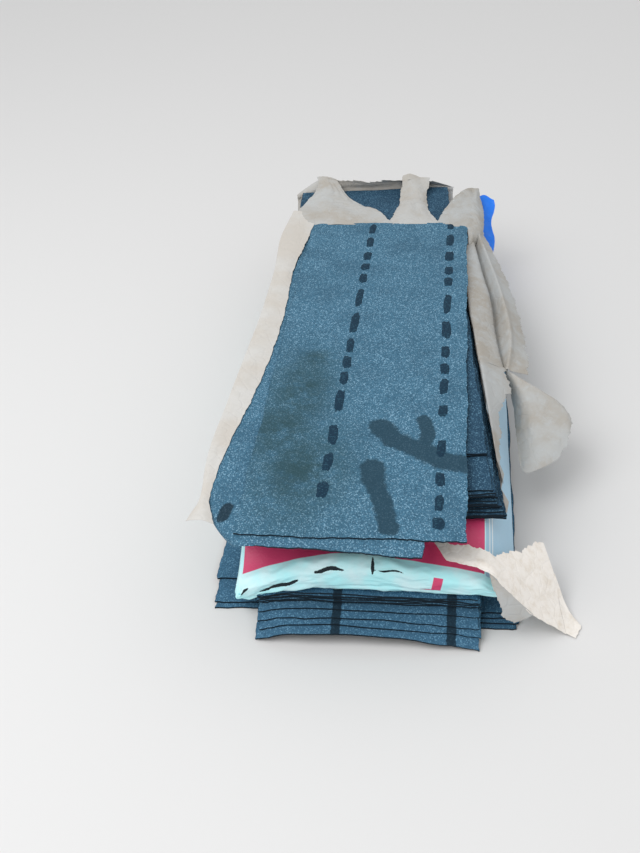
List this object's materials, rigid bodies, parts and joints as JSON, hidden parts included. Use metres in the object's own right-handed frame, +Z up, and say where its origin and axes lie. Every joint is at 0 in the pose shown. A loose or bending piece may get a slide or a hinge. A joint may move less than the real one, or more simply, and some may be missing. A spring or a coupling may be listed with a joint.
{
  "type": "asphalt shingle bundle",
  "caption": "Pile of asphalt strip shingles: an opened bundle in torn kraft paper on a sealed film-wrapped bundle, on loose fanned shingles.",
  "frame": {"origin": "on the floor under the middle of the pile, on the underside of the lowest shingle", "axes": "+Z up, +Y towards the back along the shingles' length, +X to the right as seen from the front"},
  "size_m": [0.5858, 1.2593, 0.2043],
  "materials": {
    "faded_granules": "weathered mineral granules, matt",
    "charcoal_granules": "charcoal mineral granules, matt",
    "sealant": "bitumen, slightly glossy",
    "kraft_paper": "creased weathered kraft paper",
    "printed_film": "printed polyethylene film, creased",
    "core": "hidden core"
  },
  "bodies": {
    "root": {"top_shingle": "faded_granules", "second_shingle": "faded_granules", "stack_shingles": "charcoal_granules", "loose_shingles": "charcoal_granules", "sealant_pads": "sealant", "kraft_wrapper": "kraft_paper", "film_wrap": "printed_film", "sealed_bundle_core": "core"}
  },
  "joints": []
}
